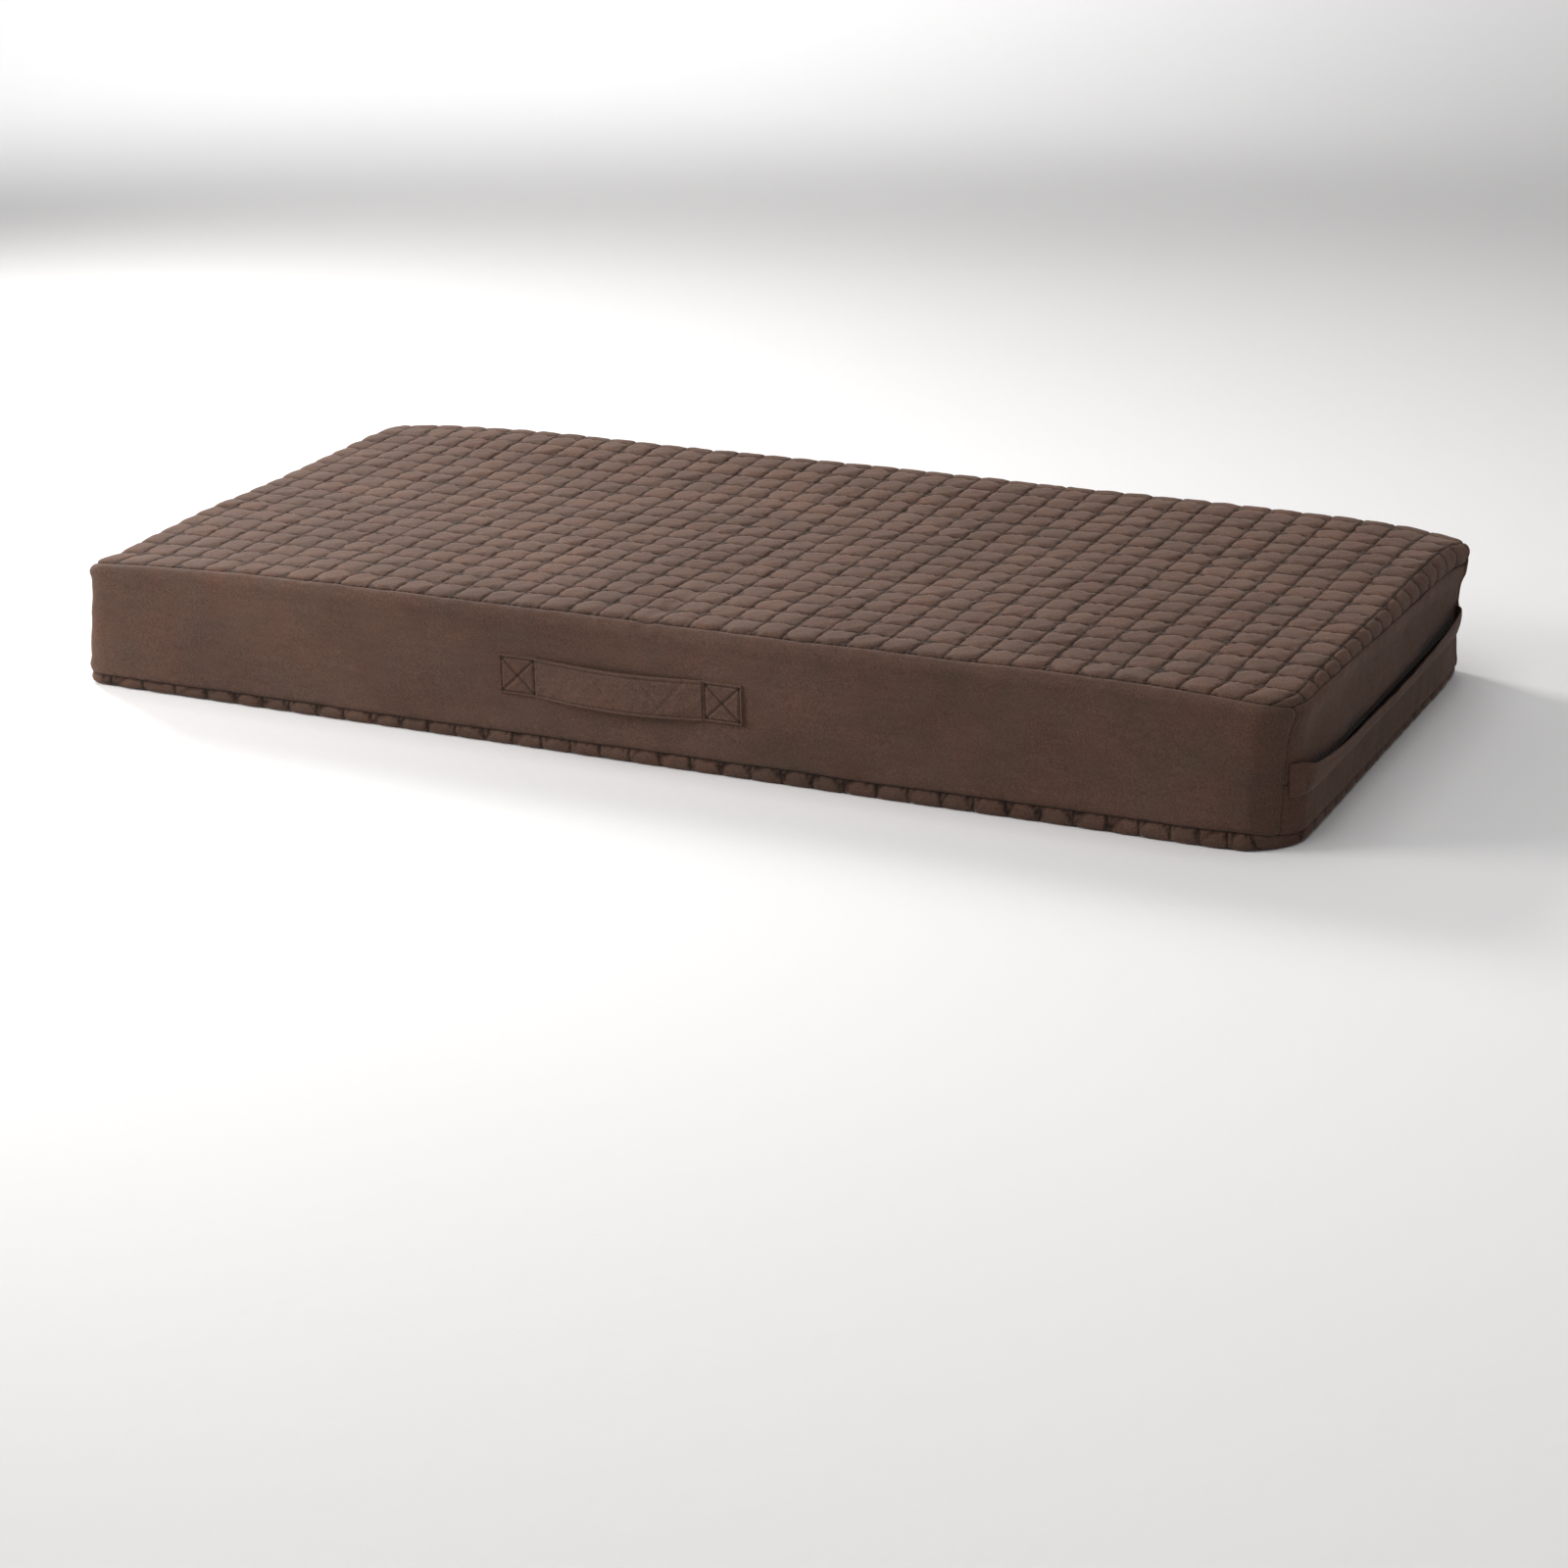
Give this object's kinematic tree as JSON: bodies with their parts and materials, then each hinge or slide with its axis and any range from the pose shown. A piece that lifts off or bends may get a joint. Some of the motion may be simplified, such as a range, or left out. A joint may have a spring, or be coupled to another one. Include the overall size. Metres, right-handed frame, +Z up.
{
  "type": "pet cushion bed",
  "caption": "Long low rectangular pet bed: a foam slab in a zipped brown cover with square-quilted faces, a plain side band, a flap over the zip and a carrying handle.",
  "frame": {"origin": "centre of the flat underside, on the surface the bed lies on", "axes": "+X along the long side towards the end with the zip, -Y out of the front with the handle, +Z up out of the quilted top"},
  "size_m": [1.2104, 0.561, 0.1366],
  "materials": {
    "suede_brown": "brushed microfibre, soft sheen",
    "backing_cloth": "plain thin non-woven cloth",
    "wadding": "matt fibre",
    "thread": "matt spun thread",
    "support_foam": "open-cell foam, matt",
    "comfort_foam": "open-cell foam, matt",
    "zip_tape": "woven tape, matt",
    "zip_nylon": "satin",
    "zip_metal": "dull plated"
  },
  "bodies": {
    "root": {"back_band": "suede_brown", "corner_seam_threads": "thread", "foam_base": "support_foam", "foam_topper": "comfort_foam", "front_band": "suede_brown", "handle_box_threads": "thread", "handle_sewn_ends": "suede_brown", "plain_end_band": "suede_brown", "top_backing": "backing_cloth", "top_face_fabric": "suede_brown", "top_quilting_thread": "thread", "top_seam_thread": "thread", "top_wadding": "wadding", "underside_backing": "backing_cloth", "underside_face_fabric": "suede_brown", "underside_quilting_thread": "thread", "underside_seam_thread": "thread", "underside_wadding": "wadding", "zip_coil_lower": "zip_nylon", "zip_coil_upper": "zip_nylon", "zip_end_lower_band": "suede_brown", "zip_end_upper_band": "suede_brown", "zip_flap_end_threads": "thread", "zip_flap_sewn_ends": "suede_brown", "zip_stops": "zip_nylon", "zip_tape_lower": "zip_tape", "zip_tape_upper": "zip_tape"},
    "handle": {"handle_grip": "suede_brown", "handle_edge_threads": "thread"},
    "flap": {"zip_flap": "suede_brown", "zip_flap_hem_thread": "thread"},
    "slider": {"zip_slider": "zip_metal"},
    "pull": {"zip_pull": "zip_metal"}
  },
  "joints": [
    {"name": "handle_pull_out", "type": "slide", "parent": "root", "child": "handle", "axis": [0, -1, 0], "range_m": [0, 0.018], "stiffness_N_per_m": 3, "springref_m": -0.005},
    {"name": "flap_fold", "type": "hinge", "parent": "root", "child": "flap", "pos_m": [0.6008, 0, 0.046], "axis": [0, 1, 0], "range_deg": [0, 100], "stiffness_Nm_per_rad": 0.0008, "springref_deg": -34.38},
    {"name": "zip_travel", "type": "slide", "parent": "root", "child": "slider", "axis": [0, -1, 0], "range_m": [0, 0.41]},
    {"name": "pull_swing", "type": "hinge", "parent": "slider", "child": "pull", "pos_m": [0.6024, 0.207, 0.056], "axis": [0, 0, 1], "range_deg": [0, 45.5]}
  ],
  "couplings": [
    {"joint": "pull_swing", "follows": "flap_fold", "ratio": 0.45}
  ]
}
